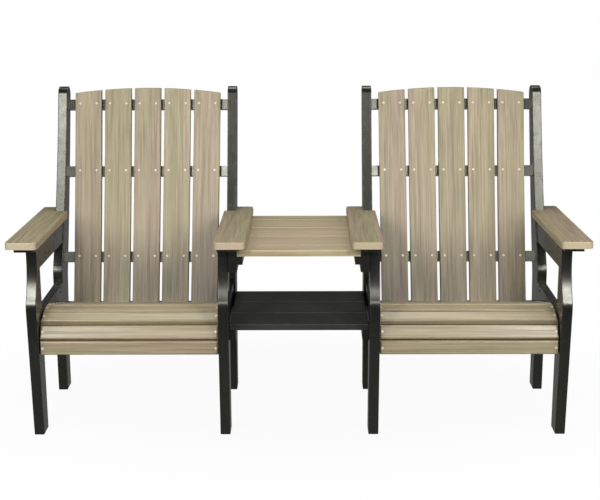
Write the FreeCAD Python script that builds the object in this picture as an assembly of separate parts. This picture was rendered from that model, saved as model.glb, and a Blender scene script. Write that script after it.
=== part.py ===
import FreeCAD, Part
import math
import os
from FreeCAD import Vector

os.makedirs("parts", exist_ok=True)

# Two armchairs stand side by side and share a small table and a shelf between them.
# X runs along the bench from its middle, Y from front to back, Z up from the floor.
# Depths are given from the front of the feet, and the finished bench is centred in Y.
# Only the right chair is described: the left one is its mirror image.

# Layout along the bench
frame_thickness = 35.0
chair_clear_width = 609.0
table_bay_width = 476.0

# Seat rails
seat_rail_top = 425.0
seat_rail_height = 88.0
seat_rail_thickness = 28.0

# Front legs
leg_depth = 71.0
leg_nose_reach = 28.0
leg_nose_above_seat = 22.0
leg_nose_rise = 37.0
leg_nose_fall = 8.0
leg_nose_bow = 3.0
leg_neck_setback = 20.0
leg_neck_share = 0.6877
leg_sweep_fullness = 0.681

# Back posts
post_front = 446.0
post_foot_depth = 70.0
post_foot_height = 95.0
post_bend_above_seat = 15.0
post_bend_run = 11.0
post_bend_rise = 43.0
post_bend_bow = 2.8
post_height = 1114.0
post_lean_degrees = 22.88
post_top_depth = 74.0
post_front_bow = 20.0
post_knee_run = 44.0
post_knee_above_seat = 5.0
post_rear_bow = 10.0
post_corner_radius = 30.0

# Armrests and what carries them
arm_front_height = 688.0
arm_front_reach = 24.0
arm_behind_post_front = 197.0
arm_slope_degrees = 1.7
arm_thickness = 24.0
arm_width = 107.0
arm_seat_overhang = 11.0
arm_front_corner_radius = 18.0
arm_rear_corner_radius = 14.0
arm_edge_radius = 4.0
arm_cleat_thickness = 10.0
arm_cleat_width = 66.0
arm_cleat_front = -17.0
arm_rail_height = 77.0
arm_rail_thickness = 28.0

# Seat boards
seat_board_width = 48.0
seat_board_thickness = 19.0
seat_board_radius = 6.0
seat_end_clearance = 2.0
apron_reach = 7.0
apron_below_seat = 134.0
apron_slope_degrees = 90.0
apron_gap = 10.0
front_board_slope_degrees = 60.0
front_board_gap = 16.0
brow_board_slope_degrees = 22.0
brow_board_gap = 7.0
crown_board_slope_degrees = 5.0
rear_board_slope_degrees = -14.8
rear_board_gap = 10.0
seat_back_clearance = 3.0
seat_support_thickness = 20.0
seat_support_below_seat = 133.0
seat_cross_rail_front = 60.0
seat_cross_rail_drop = 33.0
seat_cross_rail_height = 66.0
seat_cross_rail_thickness = 26.0

# Back slats and the rails behind them
slat_count = 5
slat_thickness = 20.0
slat_gap_low = 9.7
slat_gap_high = 13.4
slat_side_clearance = 30.2
slats_table_shift = 4.5
slat_foot_below_seat = 120.0
slat_foot_reach = 35.0
slat_lean_degrees = 19.89
slat_bow = 8.0
slat_bevel = 2.0
slat_top_below_post = 2.0
slat_arch_drop = 18.0
back_rail_height = 38.0
back_rail_thickness = 26.0
top_rail_drop = 56.0
middle_rail_drop = 297.5
lower_rail_above_seat = 87.0
bottom_rail_above_slat_foot = 34.0

# Table between the chairs
table_front = 15.0
table_wide_board = 150.0
table_wide_count = 3
table_narrow_board = 76.0
table_board_gap = 3.0
table_board_thickness = 22.0
table_board_radius = 3.0
table_end_clearance = 0.5
table_support_thickness = 30.0
table_support_height = 77.0
table_support_setback = 29.0
table_ledger_thickness = 19.0
table_ledger_height = 29.0
table_ledger_setback = 94.0

# Shelf under the table
shelf_front = 40.0
shelf_top = 385.0
shelf_board_count = 3
shelf_board_width = 137.0
shelf_board_gap = 3.0
shelf_board_thickness = 21.0
shelf_end_clearance = 1.0
shelf_ledger_thickness = 22.0
shelf_ledger_height = 34.0
shelf_ledger_front_reach = 5.0
shelf_ledger_rear_reach = 43.0

# Edges and fits of the frame pieces
frame_edge_radius = 3.0
curve_clearance = 0.3
touching = 0.001

# Screws
screw_head_radius = 4.5
screw_head_height = 1.6
screw_head_rim_radius = 1.0
screw_drive_width = 2.6
screw_drive_depth = 1.2
screw_shank_radius = 2.2
screw_shank_length = 40.0
screw_hole_clearance = 0.2
slat_screw_offset = 31.0
frame_screw_length = 24.0
frame_screw_setback = 48.0
frame_screw_drop = 8.0
frame_screw_spacing = 17.0

# Places that follow from the sizes above
inner_face = table_bay_width / 2
seat_inner = inner_face + frame_thickness
seat_outer = seat_inner + chair_clear_width
outer_face = seat_outer + frame_thickness
chair_middle = (seat_inner + seat_outer) / 2
slats_middle = chair_middle - slats_table_shift
arm_fall = math.tan(math.radians(arm_slope_degrees))
arm_rear = post_front + arm_behind_post_front
leg_top_drop = arm_thickness / math.cos(math.radians(arm_slope_degrees)) + arm_cleat_thickness
post_bend_height = seat_rail_top + post_bend_above_seat
post_shoulder_height = post_bend_height + post_bend_rise
post_shoulder_front = post_front + post_bend_run
post_climb = post_height - post_shoulder_height
post_top_front = post_shoulder_front + post_climb * math.tan(math.radians(post_lean_degrees))
slat_foot_height = seat_rail_top - slat_foot_below_seat
slat_foot_front = post_front - slat_foot_reach
slat_top_height = post_height - slat_top_below_post
slat_climb = slat_top_height - slat_foot_height
slat_top_front = slat_foot_front + slat_climb * math.tan(math.radians(slat_lean_degrees))
slats_span = chair_clear_width - 2 * slat_side_clearance
slat_width = (slats_span + slat_gap_high) / slat_count - slat_gap_high
slat_pitch_low = slat_width + slat_gap_low
slat_pitch_high = slat_width + slat_gap_high
front_boards = (
    (apron_slope_degrees, apron_gap),
    (front_board_slope_degrees, front_board_gap),
    (brow_board_slope_degrees, brow_board_gap),
    (crown_board_slope_degrees, rear_board_gap),
)
seat_support_bottom = seat_rail_top - seat_support_below_seat
table_board_widths = [table_narrow_board] + [table_wide_board] * table_wide_count + [table_narrow_board]
table_boards_depth = sum(table_board_widths) + (len(table_board_widths) - 1) * table_board_gap
table_support_length = table_boards_depth - table_support_setback
table_ledger_length = table_boards_depth - table_ledger_setback
shelf_pitch = shelf_board_width + shelf_board_gap
shelf_boards_depth = shelf_board_count * shelf_pitch - shelf_board_gap
shelf_ledger_front = shelf_front - shelf_ledger_front_reach
shelf_ledger_length = shelf_ledger_front_reach + shelf_boards_depth + shelf_ledger_rear_reach
back_rail_heights = {
    "top": post_height - top_rail_drop,
    "middle": post_height - middle_rail_drop,
    "lower": seat_rail_top + lower_rail_above_seat,
    "bottom": slat_foot_height + bottom_rail_above_slat_foot,
}

parts = {}


def side_point(depth, height):
    """A point of a side view, in the plane of the bench's middle."""
    return Vector(0, depth, height)


def straight(start, end):
    return Part.makeLine(start, end)


def bowed(start, end, bow):
    """An arc between two points of a side view; a positive bow swells forward on the way up."""
    chord = end - start
    middle = (start + end) * 0.5
    forward = Vector(0, -chord.z, chord.y).normalize()
    return Part.Arc(start, middle + forward * bow, end).toShape()


def plate(edges, left, right):
    """A closed side view made as thick as the space from left to right."""
    face = Part.Face(Part.Wire(edges))
    face.translate(Vector(left, 0, 0))
    return face.extrude(Vector(right - left, 0, 0))


def polygon_edges(points):
    return [straight(start, end) for start, end in zip(points, points[1:] + points[:1])]


def side_edges(shape, long_only=False):
    """The edges around the two side faces, or only those that run from front to back."""
    chosen = []
    for edge in shape.Edges:
        box = edge.BoundBox
        if box.XLength < touching and (box.YLength > box.ZLength or not long_only):
            chosen.append(edge)
    return chosen


def arm_top_height(depth):
    return arm_front_height - arm_fall * (depth + arm_front_reach)


def leg_top_height(depth):
    """The plane under the arm cleats, where the leg, arm rail and table boards all end."""
    return arm_top_height(depth) - leg_top_drop


# Front legs and back posts


def front_leg(left, right):
    """Straight at the back, with a front edge that leans out to a nose and sweeps back above it."""
    foot = side_point(0, 0)
    nose_height = seat_rail_top + leg_nose_above_seat
    nose = side_point(-leg_nose_reach, nose_height)
    brow = side_point(leg_nose_fall - leg_nose_reach, nose_height + leg_nose_rise)
    top_front = side_point(leg_neck_setback, leg_top_height(leg_neck_setback))
    neck_rise = leg_neck_share * (top_front.z - brow.z)
    neck = side_point(leg_neck_setback, brow.z + neck_rise)
    sweep_turn = math.atan2(neck.y - brow.y, neck_rise)
    sweep_bow = leg_sweep_fullness * (neck - brow).Length / 2 * math.tan(sweep_turn / 2)
    top_back = side_point(leg_depth, leg_top_height(leg_depth))
    heel = side_point(leg_depth, 0)
    edges = [
        straight(foot, nose),
        bowed(nose, brow, leg_nose_bow),
        bowed(brow, neck, -sweep_bow),
        straight(neck, top_front),
        straight(top_front, top_back),
        straight(top_back, heel),
        straight(heel, foot),
    ]
    leg = plate(edges, left, right)
    return leg.makeFillet(frame_edge_radius, side_edges(leg))


def post_front_edges():
    foot = side_point(post_front, 0)
    bend = side_point(post_front, post_bend_height)
    shoulder = side_point(post_shoulder_front, post_shoulder_height)
    top = side_point(post_top_front, post_height)
    return [
        straight(foot, bend),
        bowed(bend, shoulder, post_bend_bow),
        bowed(shoulder, top, -post_front_bow),
    ]


def back_post(left, right):
    """One piece from the floor to the top: upright to the seat, then leaning back in a long curve."""
    top_back = side_point(post_top_front + post_top_depth, post_height)
    post_back = post_front + post_foot_depth
    knee = side_point(post_back + post_knee_run, seat_rail_top + post_knee_above_seat)
    ankle = side_point(post_back, post_foot_height)
    heel = side_point(post_back, 0)
    edges = post_front_edges() + [
        straight(side_point(post_top_front, post_height), top_back),
        bowed(knee, top_back, -post_rear_bow),
        straight(knee, ankle),
        straight(ankle, heel),
        straight(heel, side_point(post_front, 0)),
    ]
    post = plate(Part.sortEdges(edges)[0], left, right)
    corners = [
        edge for edge in post.Edges
        if edge.BoundBox.XLength > frame_thickness / 2
        and edge.BoundBox.ZMin > top_back.z - post_corner_radius / 2
    ]
    post = post.makeFillet(post_corner_radius, corners)
    return post.makeFillet(frame_edge_radius, side_edges(post))


def behind_post_front(left, right):
    """All the space behind the front edge of the posts, less the clearance of a curved joint."""
    far = post_top_front + post_foot_depth + arm_rear
    edges = post_front_edges() + polygon_edges([
        side_point(post_top_front, post_height),
        side_point(far, post_height),
        side_point(far, 0),
        side_point(post_front, 0),
    ])[:3]
    space = plate(edges, left, right)
    space.translate(Vector(0, -curve_clearance, 0))
    return space


# Rails of the side frames


def arm_rail(left, right):
    """The rail that carries the arm, in line with the leg top and parallel to the arm."""
    inset = (frame_thickness - arm_rail_thickness) / 2
    end = post_top_front
    corners = [
        side_point(leg_depth, leg_top_height(leg_depth) - arm_rail_height),
        side_point(leg_depth, leg_top_height(leg_depth)),
        side_point(end, leg_top_height(end)),
        side_point(end, leg_top_height(end) - arm_rail_height),
    ]
    rail = plate(polygon_edges(corners), left + inset, right - inset)
    rail = rail.makeFillet(frame_edge_radius, side_edges(rail, long_only=True))
    return rail.cut(behind_post_front(left, right))


def seat_rail(left, right, seat_side):
    """The level rail beside the seat, flush with the frame on the side of the seat."""
    if seat_side > 0:
        left = right - seat_rail_thickness
    else:
        right = left + seat_rail_thickness
    size = (right - left, post_top_front - leg_depth, seat_rail_height)
    rail = Part.makeBox(*size, Vector(left, leg_depth, seat_rail_top - seat_rail_height))
    rail = rail.makeFillet(frame_edge_radius, side_edges(rail, long_only=True))
    return rail.cut(behind_post_front(left, right))


# Arms


def arm_cleat(left, right, seat_side):
    """A thin strip between the frame and the arm, wider than the frame on the far side of the seat."""
    if seat_side > 0:
        left = right - arm_cleat_width
    else:
        right = left + arm_cleat_width
    end = post_top_front
    corners = [
        side_point(arm_cleat_front, leg_top_height(arm_cleat_front)),
        side_point(arm_cleat_front, leg_top_height(arm_cleat_front) + arm_cleat_thickness),
        side_point(end, leg_top_height(end) + arm_cleat_thickness),
        side_point(end, leg_top_height(end)),
    ]
    return plate(polygon_edges(corners), left, right).cut(behind_post_front(left, right))


def armrest(left, right, seat_side):
    """A board with rounded corners and upper edges, cut away behind the post's front for the post."""
    if seat_side > 0:
        arm_left = right + arm_seat_overhang - arm_width
        far_side = arm_left
        notch = (left, right + arm_width)
    else:
        arm_left = left - arm_seat_overhang
        far_side = arm_left + arm_width
        notch = (left - arm_width, right)
    length = (arm_rear + arm_front_reach) / math.cos(math.radians(arm_slope_degrees))
    board = Part.makeBox(arm_width, length, arm_thickness, Vector(arm_left, 0, -arm_thickness))
    rear_corner = [
        edge for edge in board.Edges
        if edge.BoundBox.ZLength > arm_thickness / 2
        and edge.BoundBox.YMin > length / 2
        and abs(edge.BoundBox.XMin - far_side) < arm_width / 2
    ]
    board = board.makeFillet(arm_rear_corner_radius, rear_corner)
    front_corners = [
        edge for edge in board.Edges
        if edge.BoundBox.ZLength > arm_thickness / 2
        and edge.BoundBox.YMax < length / 2
    ]
    board = board.makeFillet(arm_front_corner_radius, front_corners)
    rim = [edge for edge in board.Edges if edge.BoundBox.ZMin > -touching]
    board = board.makeFillet(arm_edge_radius, rim)
    board.rotate(Vector(0, 0, 0), Vector(1, 0, 0), -arm_slope_degrees)
    board.translate(Vector(0, -arm_front_reach, arm_front_height))
    return board.cut(behind_post_front(*notch))


# Seat


def beyond_board(depth, height, slope, gap):
    """Where the next board starts, in line with this one."""
    run = (seat_board_width + gap) * math.cos(math.radians(slope))
    rise = (seat_board_width + gap) * math.sin(math.radians(slope))
    return depth + run, height + rise


def seat_board_places():
    """Depth, height and slope of the top front edge of each board, from the apron to the back."""
    depth = -apron_reach
    height = seat_rail_top - apron_below_seat
    places = []
    for slope, gap in front_boards:
        places.append((depth, height, slope))
        depth, height = beyond_board(depth, height, slope, gap)
    reach = seat_board_width * math.cos(math.radians(rear_board_slope_degrees)) + seat_back_clearance
    while depth + reach < slat_front(height)[0].y:
        places.append((depth, height, rear_board_slope_degrees))
        depth, height = beyond_board(depth, height, rear_board_slope_degrees, rear_board_gap)
    return places


def lying_board(left, right, width, thickness, radius, depth, height, slope):
    """A board across the bench whose top starts at this depth and height and rises by the slope."""
    board = Part.makeBox(right - left, width, thickness, Vector(left, 0, -thickness))
    top_edges = [edge for edge in board.Edges if edge.BoundBox.ZMin > -touching]
    board = board.makeFillet(radius, top_edges)
    board.rotate(Vector(0, 0, 0), Vector(1, 0, 0), slope)
    board.translate(Vector(0, depth, height))
    return board


def seat_board(place):
    return lying_board(
        seat_inner + seat_end_clearance,
        seat_outer - seat_end_clearance,
        seat_board_width,
        seat_board_thickness,
        seat_board_radius,
        *place,
    )


def seat_support(left, right):
    """A cleat on the inside of the frame whose top follows the underside of the boards."""
    points = []
    for depth, height, slope in seat_board_places():
        angle = math.radians(slope)
        start_depth = depth + seat_board_thickness * math.sin(angle)
        start_height = height - seat_board_thickness * math.cos(angle)
        points.append(side_point(start_depth, start_height))
        points.append(side_point(
            start_depth + seat_board_width * math.cos(angle),
            start_height + seat_board_width * math.sin(angle),
        ))
    rail_foot, rail_head = back_rail_corners("bottom")[:2]
    lean = (rail_head.y - rail_foot.y) / (rail_head.z - rail_foot.z)
    last = points[-1]
    rear_foot = side_point(
        rail_foot.y - lean * (rail_foot.z - seat_support_bottom), seat_support_bottom
    )
    rear_head = side_point(rail_foot.y + lean * (last.z - rail_foot.z), last.z)
    outline = points + [rear_head, rear_foot, side_point(points[0].y, seat_support_bottom)]
    outline = outline[1:] if outline[0].z <= seat_support_bottom else outline
    return plate(polygon_edges(outline), left, right)


def seat_cross_rail():
    """The rail behind the front boards that ties the two supports of a seat together."""
    left = seat_inner + seat_support_thickness
    right = seat_outer - seat_support_thickness
    foot = seat_rail_top - seat_cross_rail_drop - seat_cross_rail_height
    size = (right - left, seat_cross_rail_thickness, seat_cross_rail_height)
    rail = Part.makeBox(*size, Vector(left, seat_cross_rail_front, foot))
    long_edges = [edge for edge in rail.Edges if edge.BoundBox.XLength > seat_cross_rail_height]
    return rail.makeFillet(frame_edge_radius, long_edges)


def seat_screw_places():
    """One screw at each end of each board, in the middle of the support below it."""
    places = []
    for depth, height, slope in seat_board_places():
        angle = math.radians(slope)
        middle_depth = depth + seat_board_width / 2 * math.cos(angle)
        middle_height = height + seat_board_width / 2 * math.sin(angle)
        outward = Vector(0, -math.sin(angle), math.cos(angle))
        for x in (seat_inner + seat_support_thickness / 2, seat_outer - seat_support_thickness / 2):
            places.append((Vector(x, middle_depth, middle_height), outward))
    return places


# Back


def slat_arc():
    """The front face of the slats in side view, from the lower ends to the top of the arch."""
    low = side_point(slat_foot_front, slat_foot_height)
    high = side_point(slat_top_front, slat_top_height)
    return bowed(low, high, -slat_bow).Curve


def slat_front(height):
    """The point of the slats' front face at a height, and the direction that faces the sitter."""
    circle = slat_arc()
    rise = height - circle.Center.z
    depth = circle.Center.y + math.sqrt(circle.Radius ** 2 - rise ** 2)
    point = side_point(depth, height)
    return point, (circle.Center - point).normalize()


def slat_sheet():
    """The curved layer that all slats of one chair are cut from."""
    front_low, forward_low = slat_front(slat_foot_height - slat_width)
    front_high, forward_high = slat_front(slat_top_height + slat_width)
    front_middle = slat_front(slat_top_height / 2)[0]
    forward_middle = slat_front(slat_top_height / 2)[1]
    back_low = front_low - forward_low * slat_thickness
    back_high = front_high - forward_high * slat_thickness
    back_middle = front_middle - forward_middle * slat_thickness
    edges = [
        Part.Arc(front_low, front_middle, front_high).toShape(),
        straight(front_high, back_high),
        Part.Arc(back_high, back_middle, back_low).toShape(),
        straight(back_low, front_low),
    ]
    return plate(edges, seat_inner, seat_outer)


def slat_middle(index, height):
    """The slats spread a little like a fan: where the middle of a slat lies at a height."""
    share = (height - slat_foot_height) / (slat_top_height - slat_foot_height)
    pitch = slat_pitch_low + share * (slat_pitch_high - slat_pitch_low)
    return slats_middle + (index - (slat_count - 1) / 2) * pitch


def arch_height(x):
    """The tops of all slats of a chair lie on one low arch."""
    half_span = slat_pitch_high * (slat_count - 1) / 2 + slat_width / 2
    radius = (half_span ** 2 + slat_arch_drop ** 2) / (2 * slat_arch_drop)
    return slat_top_height - radius + math.sqrt(radius ** 2 - (x - slats_middle) ** 2)


def slat(index, sheet):
    """One slat, cut from the sheet by its front view and bevelled along its sides and top."""
    low = slat_middle(index, slat_foot_height)
    high = slat_middle(index, slat_top_height)
    half = slat_width / 2
    low_left = Vector(low - half, 0, slat_foot_height)
    low_right = Vector(low + half, 0, slat_foot_height)
    high_left = Vector(high - half, 0, arch_height(high - half))
    high_middle = Vector(high, 0, arch_height(high))
    high_right = Vector(high + half, 0, arch_height(high + half))
    edges = [
        straight(low_left, low_right),
        straight(low_right, high_right),
        Part.Arc(high_right, high_middle, high_left).toShape(),
        straight(high_left, low_left),
    ]
    front_view = Part.Face(Part.Wire(edges)).extrude(Vector(0, post_top_front * 2, 0))
    blank = sheet.common(front_view).Solids[0]
    circle = slat_arc()
    above_foot = slat_foot_height + slat_thickness
    front_edges = [
        edge for edge in blank.Edges
        if on_front_face(edge, circle) and edge.BoundBox.ZMax > above_foot
    ]
    return blank.makeChamfer(slat_bevel, front_edges)


def on_front_face(edge, circle):
    """Whether both ends and the middle of an edge lie on the slats' front face."""
    first, last = edge.ParameterRange
    for share in (0, 0.5, 1):
        point = edge.valueAt(first + share * (last - first))
        reach = math.hypot(point.y - circle.Center.y, point.z - circle.Center.z)
        if abs(reach - circle.Radius) > slat_thickness / 4:
            return False
    return True


def back_rail_corners(name):
    """The outline of a back rail, from the lower front corner up and around."""
    front, forward = slat_front(back_rail_heights[name])
    seat = front - forward * slat_thickness
    up = Vector(0, -forward.z, forward.y) * -1
    half = up * (back_rail_height / 2)
    depth = forward * -back_rail_thickness
    return [seat - half, seat + half, seat + half + depth, seat - half + depth]


def back_rail(name):
    return plate(polygon_edges(back_rail_corners(name)), seat_inner, seat_outer)


def slat_screw_places():
    places = []
    for height in back_rail_heights.values():
        point, forward = slat_front(height)
        for index in range(slat_count):
            for side in (-1, 1):
                x = slat_middle(index, height) + side * slat_screw_offset
                places.append((Vector(x, point.y, point.z), forward))
    return places


# Screws


def screw(place, outward, length):
    """A screw with a low round head that sits on the surface, with a square drive in it."""
    head = Part.makeCylinder(screw_head_radius, screw_head_height)
    rim = [edge for edge in head.Edges if edge.BoundBox.ZMin > screw_head_height / 2]
    head = head.makeFillet(screw_head_rim_radius, rim)
    half = screw_drive_width / 2
    floor = screw_head_height - screw_drive_depth
    drive = Part.makeBox(
        screw_drive_width, screw_drive_width, screw_drive_depth, Vector(-half, -half, floor)
    )
    head = head.cut(drive)
    shank = Part.makeCylinder(screw_shank_radius, length, Vector(0, 0, -length))
    whole = head.fuse(shank)
    whole.Placement = FreeCAD.Placement(place, FreeCAD.Rotation(Vector(0, 0, 1), outward))
    return whole


def screw_hole(place, outward, length):
    radius = screw_shank_radius + screw_hole_clearance
    depth = length + screw_hole_clearance
    hole = Part.makeCylinder(radius, depth, Vector(0, 0, -depth))
    hole.Placement = FreeCAD.Placement(place, FreeCAD.Rotation(Vector(0, 0, 1), outward))
    return hole


def drilled(shape, places, length):
    """The shape with a hole for each screw that reaches it."""
    holes = []
    for place, outward in places:
        hole = screw_hole(place, outward, length)
        if hole.BoundBox.intersect(shape.BoundBox):
            holes.append(hole)
    return shape.cut(holes) if holes else shape


def frame_screw_places(x, outward):
    depth = post_front - frame_screw_setback
    return [
        (Vector(x, depth, seat_rail_top - drop), outward)
        for drop in (frame_screw_drop, frame_screw_drop + frame_screw_spacing)
    ]


# Table and shelf


def table_boards():
    """Boards between the supports, in line with the tops of the legs."""
    half = inner_face - table_support_thickness - table_end_clearance
    boards = []
    depth = table_front
    for width in table_board_widths:
        boards.append(lying_board(
            -half, half, width, table_board_thickness, table_board_radius,
            depth, leg_top_height(depth), -arm_slope_degrees,
        ))
        depth += (width + table_board_gap) * math.cos(math.radians(arm_slope_degrees))
    return boards


def sloping_bar(left, right, front, length, top_drop, height):
    """A bar parallel to the arms, this far below the tops of the legs."""
    end = front + length
    corners = [
        side_point(front, leg_top_height(front) - top_drop - height),
        side_point(front, leg_top_height(front) - top_drop),
        side_point(end, leg_top_height(end) - top_drop),
        side_point(end, leg_top_height(end) - top_drop - height),
    ]
    return plate(polygon_edges(corners), left, right)


def table_support():
    left = inner_face - table_support_thickness
    return sloping_bar(
        left, inner_face, table_front, table_support_length, 0, table_support_height
    )


def table_ledger():
    right = inner_face - table_support_thickness
    left = right - table_ledger_thickness
    drop = table_board_thickness / math.cos(math.radians(arm_slope_degrees))
    return sloping_bar(left, right, table_front, table_ledger_length, drop, table_ledger_height)


def shelf_boards():
    half = inner_face - shelf_end_clearance
    return [
        lying_board(
            -half, half, shelf_board_width, shelf_board_thickness, table_board_radius,
            shelf_front + index * shelf_pitch, shelf_top, 0,
        )
        for index in range(shelf_board_count)
    ]


def shelf_ledger():
    corner = Vector(
        inner_face - shelf_ledger_thickness,
        shelf_ledger_front,
        shelf_top - shelf_board_thickness - shelf_ledger_height,
    )
    return Part.makeBox(shelf_ledger_thickness, shelf_ledger_length, shelf_ledger_height, corner)


# Assembly


def mirrored(shape):
    return shape.mirror(Vector(0, 0, 0), Vector(1, 0, 0))


def add_pair(name, solids):
    """Keep a piece of the right side and its mirror image on the left."""
    parts["right_" + name] = solids
    parts["left_" + name] = [mirrored(solid) for solid in solids]


def build_side_frame(name, left, right, seat_side):
    """The leg, post, rails, cleat and arm of one side frame."""
    seat_x = right if seat_side > 0 else left
    screws = frame_screw_places(seat_x, Vector(seat_side, 0, 0))
    add_pair(name + "_front_leg", [front_leg(left, right)])
    add_pair(name + "_back_post", [back_post(left, right)])
    add_pair(name + "_arm_rail", [arm_rail(left, right)])
    rail = drilled(seat_rail(left, right, seat_side), screws, frame_screw_length)
    add_pair(name + "_seat_rail", [rail])
    add_pair(name + "_arm_cleat", [arm_cleat(left, right, seat_side)])
    add_pair(name + "_armrest", [armrest(left, right, seat_side)])
    return [screw(place, outward, frame_screw_length) for place, outward in screws]


def build_seat(screws):
    boards = [
        drilled(seat_board(place), screws, screw_shank_length)
        for place in seat_board_places()
    ]
    add_pair("chair_seat_front_boards", boards[:len(front_boards)])
    add_pair("chair_seat_boards", boards[len(front_boards):])
    inner = seat_support(seat_inner, seat_inner + seat_support_thickness)
    outer = seat_support(seat_outer - seat_support_thickness, seat_outer)
    add_pair("chair_inner_seat_support", [drilled(inner, screws, screw_shank_length)])
    add_pair("chair_outer_seat_support", [drilled(outer, screws, screw_shank_length)])


def build_back(screws):
    sheet = slat_sheet()
    for index in range(slat_count):
        whole = drilled(slat(index, sheet), screws, screw_shank_length)
        add_pair("chair_back_slat_%d" % (index + 1), [whole])
    rails = {
        name: drilled(back_rail(name), screws, screw_shank_length) for name in back_rail_heights
    }
    bottom_rail = rails.pop("bottom")
    for name, rail in rails.items():
        add_pair("chair_%s_back_rail" % name, [rail])
    add_pair("chair_seat_cross_rails", [seat_cross_rail(), bottom_rail])


def build_table_and_shelf():
    parts["table_boards"] = table_boards()
    add_pair("table_support", [table_support()])
    add_pair("table_ledger", [table_ledger()])
    parts["shelf_boards"] = shelf_boards()
    add_pair("shelf_ledger", [shelf_ledger()])


def export_parts():
    """Centre the bench in Y on its floor area and write every piece."""
    boxes = [solid.optimalBoundingBox(False) for solids in parts.values() for solid in solids]
    front = min(box.YMin for box in boxes)
    back = max(box.YMax for box in boxes)
    shift = Vector(0, -(front + back) / 2, 0)
    for name, solids in parts.items():
        group = Part.makeCompound(solids) if len(solids) > 1 else solids[0]
        group = group.copy()
        group.translate(shift)
        group.exportStep("parts/%s.step" % name)


frame_screws = build_side_frame("inner", inner_face, seat_inner, 1)
frame_screws += build_side_frame("outer", seat_outer, outer_face, -1)
seat_screws = seat_screw_places()
slat_screws = slat_screw_places()
build_seat(seat_screws)
build_back(slat_screws)
build_table_and_shelf()
board_screws = [
    screw(place, outward, screw_shank_length) for place, outward in seat_screws + slat_screws
]
parts["board_screws"] = board_screws + [mirrored(one) for one in board_screws]
parts["frame_screws"] = frame_screws + [mirrored(one) for one in frame_screws]
export_parts()
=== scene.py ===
import math

import bpy
from mathutils import Matrix, Vector

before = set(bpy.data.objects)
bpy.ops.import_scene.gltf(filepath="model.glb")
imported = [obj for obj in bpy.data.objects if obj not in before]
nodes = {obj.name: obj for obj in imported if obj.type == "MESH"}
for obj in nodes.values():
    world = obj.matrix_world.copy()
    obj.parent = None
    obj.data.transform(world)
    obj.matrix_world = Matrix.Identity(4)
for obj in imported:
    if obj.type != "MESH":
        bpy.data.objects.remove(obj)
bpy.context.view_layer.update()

# Two slatted armchairs joined by a small table, on a white floor in soft light. Lengths are in
# metres and angles in degrees.

# The back: how far the slats lean, how much each one turns in the fan, how hollow the back looks
SLAT_LEAN = 19.9
SLAT_FAN_STEP = 0.26
BACK_HOLLOW = 0.5

# Colours of the boards, and the tone that each board multiplies them by
BOARD_BASE = (0.414, 0.342, 0.214)
BOARD_WARM = (0.440, 0.336, 0.234)
BOARD_GREEN = (0.388, 0.344, 0.190)
BOARD_DARK = (0.220, 0.172, 0.107)
BOARD_LIGHT = (0.568, 0.486, 0.322)
# Painted light: the paler colour of faces that face the front, such as the arms' front ends
BOARD_FRONT_LIGHT = (0.600, 0.492, 0.330)
SLAT_TONES = (0.99, 1.03, 0.96, 1.02, 0.98)
RIGHT_SLAT_TONE = 1.01
ARM_TONES = {"outer": 0.96, "inner": 0.90}
SEAT_TONE = 0.95
TABLE_TONE = 1.25

# Patterns of the boards: how dense each one is along the board and in the two ways across it
TINT_DENSITY = (0.6, 22, 22)
CLOUD_DENSITY = (3, 9, 9)
BROAD_DENSITY = (0.9, 34, 34)
STREAK_DENSITY = (2.6, 150, 150)
FINE_DENSITY = (9, 620, 620)
TINT_PLACE = (3, 7)

# How far the patterns move on for each step of a board's seed, and the first seed of each kind
SLAT_GRAIN_STEP = (1.7, 0.83, 0.41)
ARM_GRAIN_STEP = (1.3, 0.71, 0.37)
SEAT_GRAIN_STEP = (1.1, 0.59, 0.47)
TABLE_GRAIN_STEP = (1.0075, 0.2925, 0.1275)
FIRST_SLAT_SEED = 1
FIRST_ARM_SEED = 20
FIRST_SEAT_SEED = 30
TABLE_SEED = 40

# Surface of the boards: roughness, wear along the edges, strength and depth of the relief, and
# the painted shade in the corners of the backs, near the seat and arms
BOARD_ROUGHNESS = (0.38, 0.52)
SEAT_POLISH = 0.12
BOARD_WEAR = 0.14
BOARD_WEAR_REACH = 0.004
BOARD_WEAR_POLISH = 0.06
BOARD_RELIEF = (0.35, 0.0006)
PAINTED_SHADE_REACH = 0.36
PAINTED_SHADE_DARKEST = 0.36

# Black pieces: how dark they are, how dense their grain is along each axis, their roughness,
# gloss and wear, and the strength and depth of their relief
FRAME_BLACK = 0.0085
SHELF_BLACK = 0.024
BLACK_CAST = (1.0, 1.03, 0.98)
BLACK_TINT = (1.0, 1.0, 0.84)
LIGHTER_BLACK = 2.1
DARKER_BLACK = 0.6
FRAME_DENSITY = (30, 30, 6)
RAIL_DENSITY = (6, 30, 30)
SHELF_DENSITY = (5, 210, 210)
FRAME_ROUGHNESS = (0.20, 0.30)
SHELF_ROUGHNESS = (0.36, 0.50)
FRAME_GLOSS = 0.8
SHELF_GLOSS = 0.7
BLACK_WEAR = 0.5
BLACK_WEAR_REACH = 0.003
BLACK_RELIEF = (0.10, 0.0004)

# Screws: paint, worn paint and roughness of the pale and the dark ones, and their relief
PALE_PAINT = ((0.86, 0.80, 0.68), (0.66, 0.60, 0.47), (0.22, 0.36))
DARK_PAINT = ((0.03, 0.03, 0.03), (0.012, 0.012, 0.012), (0.3, 0.45))
SCREW_RELIEF = (0.2, 0.0002)

# Floor and room: the floor's extent and colours, how white it looks under the bench, between
# which distances it turns fully white, and how bright floor and room are to gloss
WHITE = (1.0, 1.0, 1.0, 1.0)
FLOOR_FRONT = -1.15
FLOOR_BACK = 9.0
FLOOR_SIDE = 6.0
FLOOR_COLORS = ((0.60, 0.60, 0.59), (0.66, 0.66, 0.65))
FLOOR_WHITE = 0.94
FLOOR_WHITE_FROM = 0.45
FLOOR_WHITE_TO = 1.1
FLOOR_SHADE_WIDTH = 0.62
FLOOR_GLOSS = 0.25
ROOM_GLOSS = 0.12
ROOM_AMBIENT = 0.04

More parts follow.
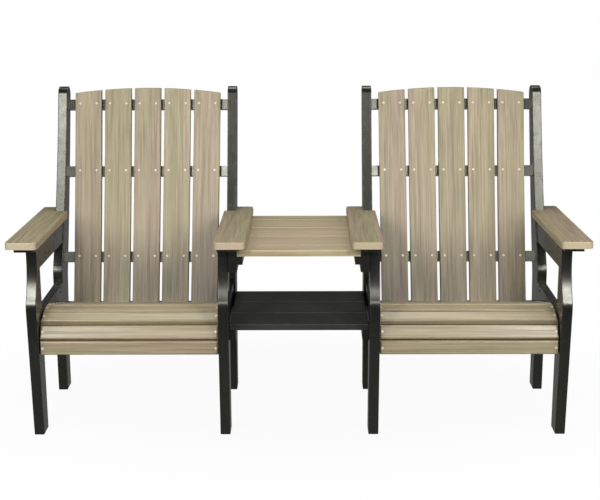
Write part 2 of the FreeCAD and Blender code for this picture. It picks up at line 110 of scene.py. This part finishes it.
# Soft lamps: place, point aimed at, width, height and brightness
KEY_LAMP = ((1.46, -2.4, 2.02), (0.4, 0.0, 0.8), 0.64, 1.0, 17.0)
SIDE_LAMP = ((3.0, -1.8, 1.75), (0.0, 0.0, 0.7), 1.0, 1.0, 8.5)
FRONT_LAMP = ((0.0, -2.6, 2.1), (0.0, 0.0, 0.8), 1.0, 0.5, 8.0)
TOP_BACK_LAMP = ((0.0, 1.2, 3.4), (0.0, 0.0, 0.5), 2.6, 1.2, 4.2)

# Camera: a step to the right of the middle, turned back by as much at the distance of the backs
CAMERA_ASIDE = 0.028
CAMERA_FRONT = -4.5021
CAMERA_HEIGHT = 1.6897
BACK_DISTANCE = 4.85
CAMERA_TILT = 75.934
CAMERA_ROLL = -0.2
CAMERA_LENS = 76.5
SENSOR_WIDTH = 36.0

# Sockets of a colour mix
MIX_FACTOR, MIX_A, MIX_B, MIX_RESULT = 0, 6, 7, 2


# Node helpers


def new_material(name):
    material = bpy.data.materials.new(name)
    material.use_nodes = True
    material.node_tree.nodes.clear()
    return material, material.node_tree


def link(tree, source, target):
    tree.links.new(source, target)


def set_input(tree, node, key, value):
    """Link a socket to an input, or set the input to a fixed value."""
    if isinstance(value, bpy.types.NodeSocket):
        link(tree, value, node.inputs[key])
    else:
        node.inputs[key].default_value = value


def coordinates(tree, kind="Object"):
    return tree.nodes.new("ShaderNodeTexCoord").outputs[kind]


def component(tree, vector, axis):
    node = tree.nodes.new("ShaderNodeSeparateXYZ")
    link(tree, vector, node.inputs[0])
    return node.outputs[axis]


def math_node(tree, operation, a, b=0.0):
    node = tree.nodes.new("ShaderNodeMath")
    node.operation = operation
    set_input(tree, node, 0, a)
    set_input(tree, node, 1, b)
    return node.outputs[0]


def times(tree, a, b):
    return math_node(tree, "MULTIPLY", a, b)


def vector_math(tree, operation, *vectors):
    """Combine vectors into a vector, or into a value for a product or a length."""
    node = tree.nodes.new("ShaderNodeVectorMath")
    node.operation = operation
    for key, vector in enumerate(vectors):
        link(tree, vector, node.inputs[key])
    return node.outputs["Value" if operation in ("DOT_PRODUCT", "LENGTH") else "Vector"]


def mapping(tree, vector, location=(0, 0, 0), rotation=(0, 0, 0), scale=(1, 1, 1)):
    node = tree.nodes.new("ShaderNodeMapping")
    link(tree, vector, node.inputs["Vector"])
    node.inputs["Location"].default_value = location
    node.inputs["Rotation"].default_value = rotation
    node.inputs["Scale"].default_value = scale
    return node.outputs["Vector"]


def noise(tree, vector, scale=1.0, detail=2.0, roughness=0.5):
    node = tree.nodes.new("ShaderNodeTexNoise")
    link(tree, vector, node.inputs["Vector"])
    node.inputs["Scale"].default_value = scale
    node.inputs["Detail"].default_value = detail
    node.inputs["Roughness"].default_value = roughness
    return node.outputs["Fac"]


def map_range(tree, value, low, high, to_low, to_high):
    node = tree.nodes.new("ShaderNodeMapRange")
    link(tree, value, node.inputs["Value"])
    node.inputs["From Min"].default_value = low
    node.inputs["From Max"].default_value = high
    node.inputs["To Min"].default_value = to_low
    node.inputs["To Max"].default_value = to_high
    return node.outputs["Result"]


def mix_color(tree, factor, a, b, blend_type="MIX"):
    node = tree.nodes.new("ShaderNodeMix")
    node.data_type = "RGBA"
    node.blend_type = blend_type
    set_input(tree, node, MIX_FACTOR, factor)
    for key, value in ((MIX_A, a), (MIX_B, b)):
        is_socket = isinstance(value, bpy.types.NodeSocket)
        set_input(tree, node, key, value if is_socket else (*value, 1.0))
    return node.outputs[MIX_RESULT]


def layer(tree, color, pattern, start, full, share, shade):
    """Lay this share of a shade over a colour, from where a pattern starts to where it is full."""
    return mix_color(tree, map_range(tree, pattern, start, full, 0.0, share), color, shade)


def scaled(values, factor):
    return tuple(value * factor for value in values)


def middle_x(node_name):
    """X of the middle of a piece."""
    reach = [vertex.co.x for vertex in nodes[node_name].data.vertices]
    return (min(reach) + max(reach)) / 2


# Parts of a surface


def edge_mask(tree, reach):
    """One along the edges of a piece and zero on its flats, where both normals agree."""
    flat, sharp = 0.995, 0.8
    bevel = tree.nodes.new("ShaderNodeBevel")
    bevel.samples = 4
    bevel.inputs["Radius"].default_value = reach
    true_normal = tree.nodes.new("ShaderNodeNewGeometry").outputs["True Normal"]
    agreement = vector_math(tree, "DOT_PRODUCT", bevel.outputs["Normal"], true_normal)
    return map_range(tree, agreement, flat, sharp, 0.0, 1.0)


def paint_front_light(tree, color, tone):
    """Paint light into a colour where a board faces the front, as a paler colour on the arms'
    front ends.
    """
    facing = component(tree, coordinates(tree, "Normal"), "Y")
    return layer(tree, color, facing, -0.45, -0.80, 0.92, scaled(BOARD_FRONT_LIGHT, tone))


def paint_corner_shade(tree, color):
    """Paint shade into a colour towards the corners, where other parts come near."""
    closed, open_air = 0.40, 0.92
    cover = tree.nodes.new("ShaderNodeAmbientOcclusion")
    cover.samples = 8
    cover.inputs["Distance"].default_value = PAINTED_SHADE_REACH
    lit_share = map_range(tree, cover.outputs["AO"], closed, open_air, PAINTED_SHADE_DARKEST, 1.0)
    shade = tree.nodes.new("ShaderNodeCombineColor")
    for key in ("Red", "Green", "Blue"):
        link(tree, lit_share, shade.inputs[key])
    return mix_color(tree, 1.0, color, shade.outputs[0], "MULTIPLY")


def hollow_normal(tree):
    """Normals that turn towards the middle of each chair, as on a slightly hollow back."""
    chair_middle = middle_x("right_chair_back_slat_3")
    x = component(tree, coordinates(tree), "X")
    from_middle = math_node(tree, "SUBTRACT", chair_middle, math_node(tree, "ABSOLUTE", x))
    turn = times(tree, times(tree, from_middle, BACK_HOLLOW), math_node(tree, "SIGN", x))
    sideways = tree.nodes.new("ShaderNodeCombineXYZ")
    link(tree, turn, sideways.inputs["X"])
    normal = tree.nodes.new("ShaderNodeNewGeometry").outputs["Normal"]
    return vector_math(tree, "NORMALIZE", vector_math(tree, "ADD", normal, sideways.outputs[0]))


def bump(tree, height, relief, on_back=False):
    strength, depth = relief
    node = tree.nodes.new("ShaderNodeBump")
    node.inputs["Strength"].default_value = strength
    node.inputs["Distance"].default_value = depth
    link(tree, height, node.inputs["Height"])
    if on_back:
        link(tree, hollow_normal(tree), node.inputs["Normal"])
    return node.outputs["Normal"]


def finish_material(tree, color, roughness, normal, gloss=0.5, tint=(1.0, 1.0, 1.0)):
    shader = tree.nodes.new("ShaderNodeBsdfPrincipled")
    shader.inputs["Specular IOR Level"].default_value = gloss
    shader.inputs["Specular Tint"].default_value = (*tint, 1.0)
    link(tree, color, shader.inputs["Base Color"])
    link(tree, roughness, shader.inputs["Roughness"])
    link(tree, normal, shader.inputs["Normal"])
    output = tree.nodes.new("ShaderNodeOutputMaterial")
    link(tree, shader.outputs["BSDF"], output.inputs["Surface"])


# Materials


def board_material(name, turn, grain_step, seed, tone, on_back=False, front_lit=False, polish=0.0):
    """Taupe lumber with fine embossed streaks, which run along X in the turned coordinates."""
    material, tree = new_material(name)
    turned = mapping(tree, coordinates(tree), rotation=turn)
    place = mapping(tree, turned, location=scaled(grain_step, seed))
    broad = noise(tree, mapping(tree, place, scale=BROAD_DENSITY), detail=3.0, roughness=0.55)
    streak = noise(tree, mapping(tree, place, scale=STREAK_DENSITY), detail=3.0, roughness=0.6)
    fine = noise(tree, mapping(tree, place, scale=FINE_DENSITY), roughness=0.6)
    tint_place = mapping(tree, place, scale=TINT_DENSITY, location=(*TINT_PLACE, seed))
    tint = noise(tree, tint_place, detail=1.0)
    cloud = noise(tree, mapping(tree, place, scale=CLOUD_DENSITY))

    dark = scaled(BOARD_DARK, tone)
    light = scaled(BOARD_LIGHT, tone)
    color = layer(tree, scaled(BOARD_WARM, tone), tint, 0.38, 0.62, 1.0, scaled(BOARD_GREEN, tone))
    color = layer(tree, color, cloud, 0.3, 0.7, 0.5, scaled(BOARD_BASE, tone))
    color = layer(tree, color, broad, 0.52, 0.78, 0.42, dark)
    color = layer(tree, color, broad, 0.46, 0.22, 0.42, light)
    color = layer(tree, color, streak, 0.50, 0.72, 0.75, dark)
    color = layer(tree, color, streak, 0.48, 0.24, 0.65, light)
    color = layer(tree, color, fine, 0.52, 0.80, 0.60, dark)
    worn = edge_mask(tree, BOARD_WEAR_REACH)
    color = mix_color(tree, times(tree, worn, BOARD_WEAR), color, light)
    # Painted light: faces towards the front, such as the arms' front ends, turn paler
    if front_lit:
        color = paint_front_light(tree, color, tone)
    # Painted shade: the backs darken towards the corners near the seat and arms
    if on_back:
        color = paint_corner_shade(tree, color)

    smoothest, roughest = BOARD_ROUGHNESS
    unworn = map_range(tree, streak, 0.2, 0.8, smoothest - polish, roughest - polish)
    roughness = math_node(tree, "SUBTRACT", unworn, times(tree, worn, BOARD_WEAR_POLISH))
    height = math_node(tree, "ADD", times(tree, fine, 0.6), streak)
    finish_material(tree, color, roughness, bump(tree, height, BOARD_RELIEF, on_back))
    return material


def black_material(name, density, darkness, roughness_range, gloss, on_back=False):
    """Black lumber: satin, faintly mottled, with rubbed edges and a trace of grain."""
    material, tree = new_material(name)
    place = coordinates(tree)
    mottle = noise(tree, place, scale=38.0, detail=4.0, roughness=0.6)
    cloud = noise(tree, place, scale=5.0)
    lines = noise(tree, mapping(tree, place, scale=density), detail=3.0, roughness=0.6)

    black = scaled(BLACK_CAST, darkness)
    lighter = scaled(black, LIGHTER_BLACK)
    color = layer(tree, black, lines, 0.35, 0.75, 0.6, lighter)
    color = layer(tree, color, cloud, 0.45, 0.7, 0.5, scaled(black, DARKER_BLACK))
    worn = edge_mask(tree, BLACK_WEAR_REACH)
    color = mix_color(tree, times(tree, worn, BLACK_WEAR), color, lighter)

    spread = math_node(tree, "ADD", times(tree, mottle, 0.6), times(tree, lines, 0.4))
    roughness = map_range(tree, spread, 0.3, 0.7, *roughness_range)
    height = math_node(tree, "ADD", lines, times(tree, mottle, 0.15))
    normal = bump(tree, height, BLACK_RELIEF, on_back)
    finish_material(tree, color, roughness, normal, gloss, BLACK_TINT)
    return material


def screw_material(name, paint, worn_paint, roughness_range, on_back=False):
    """Painted screw heads, speckled with small chips and worn in patches."""
    material, tree = new_material(name)
    place = coordinates(tree)
    speckle = noise(tree, place, scale=420.0, detail=3.0, roughness=0.6)
    patches = noise(tree, place, scale=30.0)
    color = layer(tree, paint, speckle, 0.45, 0.75, 0.6, worn_paint)
    color = layer(tree, color, patches, 0.35, 0.65, 0.4, worn_paint)
    roughness = map_range(tree, speckle, 0.3, 0.7, *roughness_range)
    finish_material(tree, color, roughness, bump(tree, speckle, SCREW_RELIEF, on_back))
    return material


def dress(node_name, material):
    """Give a node this material in all of its slots."""
    mesh = nodes[node_name].data
    if not mesh.materials:
        mesh.materials.append(material)
    for index in range(len(mesh.materials)):
        mesh.materials[index] = material


# Boards: a material for each board node, so that no two nodes share their grain

ALONG_X = (0.0, 0.0, 0.0)
FRONT_TO_BACK = (0.0, 0.0, math.pi / 2)


def slat_turn(side, number):
    """The turn that brings the grain of a leaning, fanned slat to lie along X."""
    middle_number = (len(SLAT_TONES) + 1) / 2
    fan = (number - middle_number) * SLAT_FAN_STEP * (1 if side == "right" else -1)
    lean = Matrix.Rotation(math.radians(SLAT_LEAN), 3, "X")
    spread = Matrix.Rotation(math.radians(-fan), 3, "Y")
    to_grain = Matrix.Rotation(math.pi / 2, 3, "Y")
    return (to_grain @ spread @ lean).to_euler()


for side_index, side in enumerate(("left", "right")):
    side_tone = RIGHT_SLAT_TONE if side == "right" else 1.0
    for index, slat_tone in enumerate(SLAT_TONES):
        number = index + 1
        dress("%s_chair_back_slat_%d" % (side, number), board_material(
            "board_slat_%s_%d" % (side, number), slat_turn(side, number), SLAT_GRAIN_STEP,
            FIRST_SLAT_SEED + side_index * len(SLAT_TONES) + index, slat_tone * side_tone,
            on_back=True,
        ))
    for index, (place, arm_tone) in enumerate(ARM_TONES.items()):
        dress("%s_%s_armrest" % (side, place), board_material(
            "board_arm_%s_%s" % (side, place), FRONT_TO_BACK, ARM_GRAIN_STEP,
            FIRST_ARM_SEED + side_index * 2 + index, arm_tone, front_lit=True,
        ))
    for index, part in enumerate(("seat_front_boards", "seat_boards")):
        dress("%s_chair_%s" % (side, part), board_material(
            "board_%s_%s" % (side, part), ALONG_X, SEAT_GRAIN_STEP,
            FIRST_SEAT_SEED + side_index * 2 + index, SEAT_TONE, polish=SEAT_POLISH,
        ))
dress("table_boards", board_material(
    "board_table", ALONG_X, TABLE_GRAIN_STEP, TABLE_SEED, TABLE_TONE,
))

# Black frame, shelf and screws

frame_black = black_material(
    "frame_black", FRAME_DENSITY, FRAME_BLACK, FRAME_ROUGHNESS, FRAME_GLOSS,
)
rail_black = black_material(
    "rail_black", RAIL_DENSITY, FRAME_BLACK, FRAME_ROUGHNESS, FRAME_GLOSS, on_back=True,
)
black_endings = ("front_leg", "back_post", "rail", "rails", "cleat", "support", "ledger")
for node_name in nodes:
    if node_name.endswith(black_endings):
        dress(node_name, rail_black if node_name.endswith("back_rail") else frame_black)
dress("shelf_boards", black_material(
    "shelf_black", SHELF_DENSITY, SHELF_BLACK, SHELF_ROUGHNESS, SHELF_GLOSS,
))
dress("board_screws", screw_material("screw_pale", *PALE_PAINT, on_back=True))
dress("frame_screws", screw_material("screw_dark", *DARK_PAINT))

# Floor


def seen_directly(tree, path):
    """One for what the camera sees, also through something clear."""
    camera_ray, clear_ray = path.outputs["Is Camera Ray"], path.outputs["Is Transmission Ray"]
    return math_node(tree, "MAXIMUM", camera_ray, clear_ray)


def floor_material():
    """Pale paper floor: white where it is seen, and keeping the bench's shadow close around it."""
    material, tree = new_material("floor_pale")
    place = coordinates(tree)
    color = mix_color(tree, noise(tree, place, scale=1.5, detail=3.0), *FLOOR_COLORS)
    lit = tree.nodes.new("ShaderNodeBsdfDiffuse")
    link(tree, color, lit.inputs["Color"])
    path = tree.nodes.new("ShaderNodeLightPath")
    gloss = path.outputs["Is Glossy Ray"]
    shown = tree.nodes.new("ShaderNodeEmission")
    shown.inputs["Color"].default_value = WHITE
    link(tree, map_range(tree, gloss, 0.0, 1.0, 1.0, FLOOR_GLOSS), shown.inputs["Strength"])
    around = mapping(tree, place, scale=(FLOOR_SHADE_WIDTH, 1.0, 1.0))
    distance = vector_math(tree, "LENGTH", around)
    whiteness = map_range(tree, distance, FLOOR_WHITE_FROM, FLOOR_WHITE_TO, FLOOR_WHITE, 1.0)
    seen_white = times(tree, seen_directly(tree, path), whiteness)
    mix = tree.nodes.new("ShaderNodeMixShader")
    link(tree, math_node(tree, "MAXIMUM", seen_white, gloss), mix.inputs[0])
    link(tree, lit.outputs[0], mix.inputs[1])
    link(tree, shown.outputs[0], mix.inputs[2])
    output = tree.nodes.new("ShaderNodeOutputMaterial")
    link(tree, mix.outputs[0], output.inputs["Surface"])
    return material


floor_mesh = bpy.data.meshes.new("floor")
corners = [
    (-FLOOR_SIDE, FLOOR_FRONT, 0),
    (FLOOR_SIDE, FLOOR_FRONT, 0),
    (FLOOR_SIDE, FLOOR_BACK, 0),
    (-FLOOR_SIDE, FLOOR_BACK, 0),
]
floor_mesh.from_pydata(corners, [], [(0, 1, 2, 3)])
floor_mesh.materials.append(floor_material())
floor = bpy.data.objects.new("floor", floor_mesh)
bpy.context.scene.collection.objects.link(floor)

# Lamps


def add_lamp(name, settings, sign=1):
    """A rectangular lamp of a set brightness per area, aimed at a point; sign -1 mirrors it."""
    place, target, width, height, radiance = settings
    start = Vector((place[0] * sign, *place[1:]))
    end = Vector((target[0] * sign, *target[1:]))
    light = bpy.data.lights.new(name, "AREA")
    light.shape = "RECTANGLE"
    light.size = width
    light.size_y = height
    light.energy = radiance * math.pi * width * height
    lamp = bpy.data.objects.new(name, light)
    lamp.location = start
    lamp.rotation_euler = (end - start).to_track_quat("-Z", "Y").to_euler()
    bpy.context.scene.collection.objects.link(lamp)


for side, sign in (("left", -1), ("right", 1)):
    add_lamp("key_" + side, KEY_LAMP, sign)
    add_lamp("side_" + side, SIDE_LAMP, sign)
add_lamp("front", FRONT_LAMP)
add_lamp("top_back", TOP_BACK_LAMP)

# Room


def studio_world():
    """White to the eye all around; what gloss shows and what falls on things is a dim room."""
    world = bpy.data.worlds.new("studio")
    world.use_nodes = True
    tree = world.node_tree
    tree.nodes.clear()
    path = tree.nodes.new("ShaderNodeLightPath")
    gloss = times(tree, path.outputs["Is Glossy Ray"], ROOM_GLOSS)
    ambient = times(tree, path.outputs["Is Diffuse Ray"], ROOM_AMBIENT)
    dim = math_node(tree, "MAXIMUM", gloss, ambient)
    strength = math_node(tree, "MAXIMUM", seen_directly(tree, path), dim)
    background = tree.nodes.new("ShaderNodeBackground")
    background.inputs["Color"].default_value = WHITE
    link(tree, strength, background.inputs["Strength"])
    output = tree.nodes.new("ShaderNodeOutputWorld")
    link(tree, background.outputs[0], output.inputs["Surface"])
    return world


bpy.context.scene.world = studio_world()

# Camera

camera_data = bpy.data.cameras.new("camera")
camera_data.sensor_width = SENSOR_WIDTH
camera_data.sensor_fit = "HORIZONTAL"
camera_data.lens = CAMERA_LENS
camera = bpy.data.objects.new("camera", camera_data)
camera.location = (CAMERA_ASIDE, CAMERA_FRONT, CAMERA_HEIGHT)
yaw = Matrix.Rotation(CAMERA_ASIDE / BACK_DISTANCE, 3, "Z")
tilt = Matrix.Rotation(math.radians(CAMERA_TILT), 3, "X")
roll = Matrix.Rotation(math.radians(CAMERA_ROLL), 3, "Z")
camera.rotation_euler = (yaw @ tilt @ roll).to_euler()
bpy.context.scene.collection.objects.link(camera)
bpy.context.scene.camera = camera

bpy.context.scene.view_settings.view_transform = "Standard"
